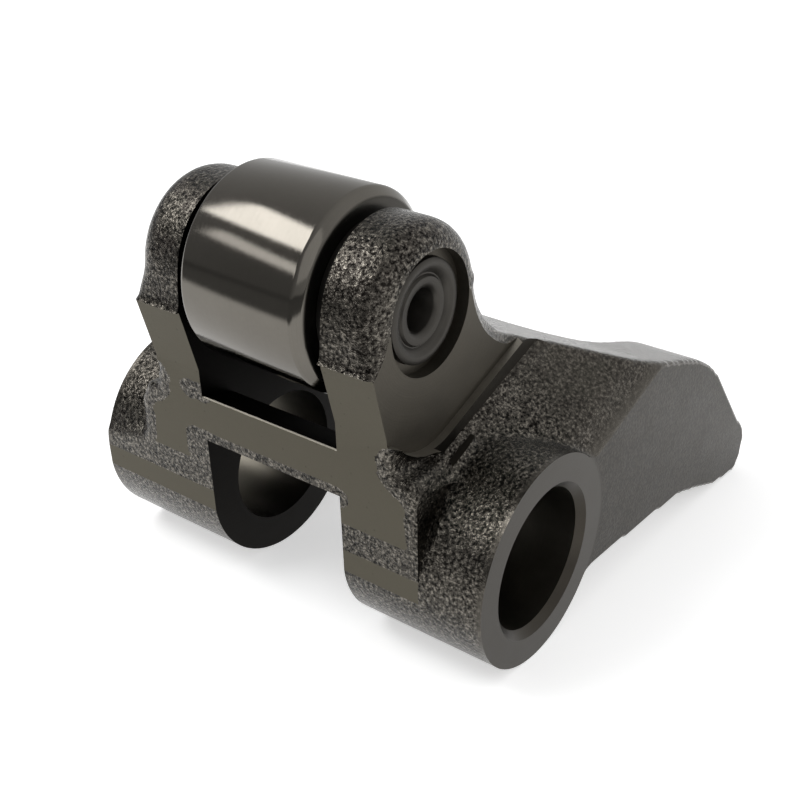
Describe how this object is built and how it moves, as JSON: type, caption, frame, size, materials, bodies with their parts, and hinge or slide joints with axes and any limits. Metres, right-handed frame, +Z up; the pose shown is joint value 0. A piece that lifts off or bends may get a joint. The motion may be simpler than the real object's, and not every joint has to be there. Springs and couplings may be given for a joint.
{
  "type": "roller rocker arm",
  "caption": "Forged rocker arm with two shaft lugs, a needle-bearing cam roller pinned between two ears, and a forked tail that pushes on a pair of valves.",
  "frame": {"origin": "on the rocker shaft's axis, halfway between the outer faces of the two lugs", "axes": "+Y along the rocker shaft, +X from the roller towards the valves, +Z up from the resting surface"},
  "size_m": [0.0839, 0.06, 0.0559],
  "materials": {
    "forged_steel": "dark forged steel, shot-blasted, milled at the ears, the lug faces and the bore",
    "ground_steel": "ground bearing steel",
    "pin_steel": "turned and staked ends",
    "washer_steel": "dark hardened steel",
    "needle_steel": "ground bearing steel"
  },
  "bodies": {
    "arm": {"arm_body": "forged_steel", "roller_pin": "pin_steel", "thrust_washer_near": "washer_steel", "thrust_washer_far": "washer_steel"},
    "roller": {"roller": "ground_steel"},
    "needle_set": {"needle_01": "needle_steel", "needle_02": "needle_steel", "needle_03": "needle_steel", "needle_04": "needle_steel", "needle_05": "needle_steel", "needle_06": "needle_steel", "needle_07": "needle_steel", "needle_08": "needle_steel", "needle_09": "needle_steel", "needle_10": "needle_steel", "needle_11": "needle_steel", "needle_12": "needle_steel", "needle_13": "needle_steel", "needle_14": "needle_steel", "needle_15": "needle_steel", "needle_16": "needle_steel"}
  },
  "joints": [
    {"name": "roller_spin", "type": "hinge", "parent": "arm", "child": "roller", "pos_m": [-0.0083, 0, 0.0304], "axis": [0, 1, 0], "continuous": true},
    {"name": "needle_orbit", "type": "hinge", "parent": "arm", "child": "needle_set", "pos_m": [-0.0083, 0, 0.0304], "axis": [0, 1, 0], "continuous": true}
  ],
  "couplings": [
    {"joint": "needle_orbit", "follows": "roller_spin", "ratio": 0.5944}
  ]
}
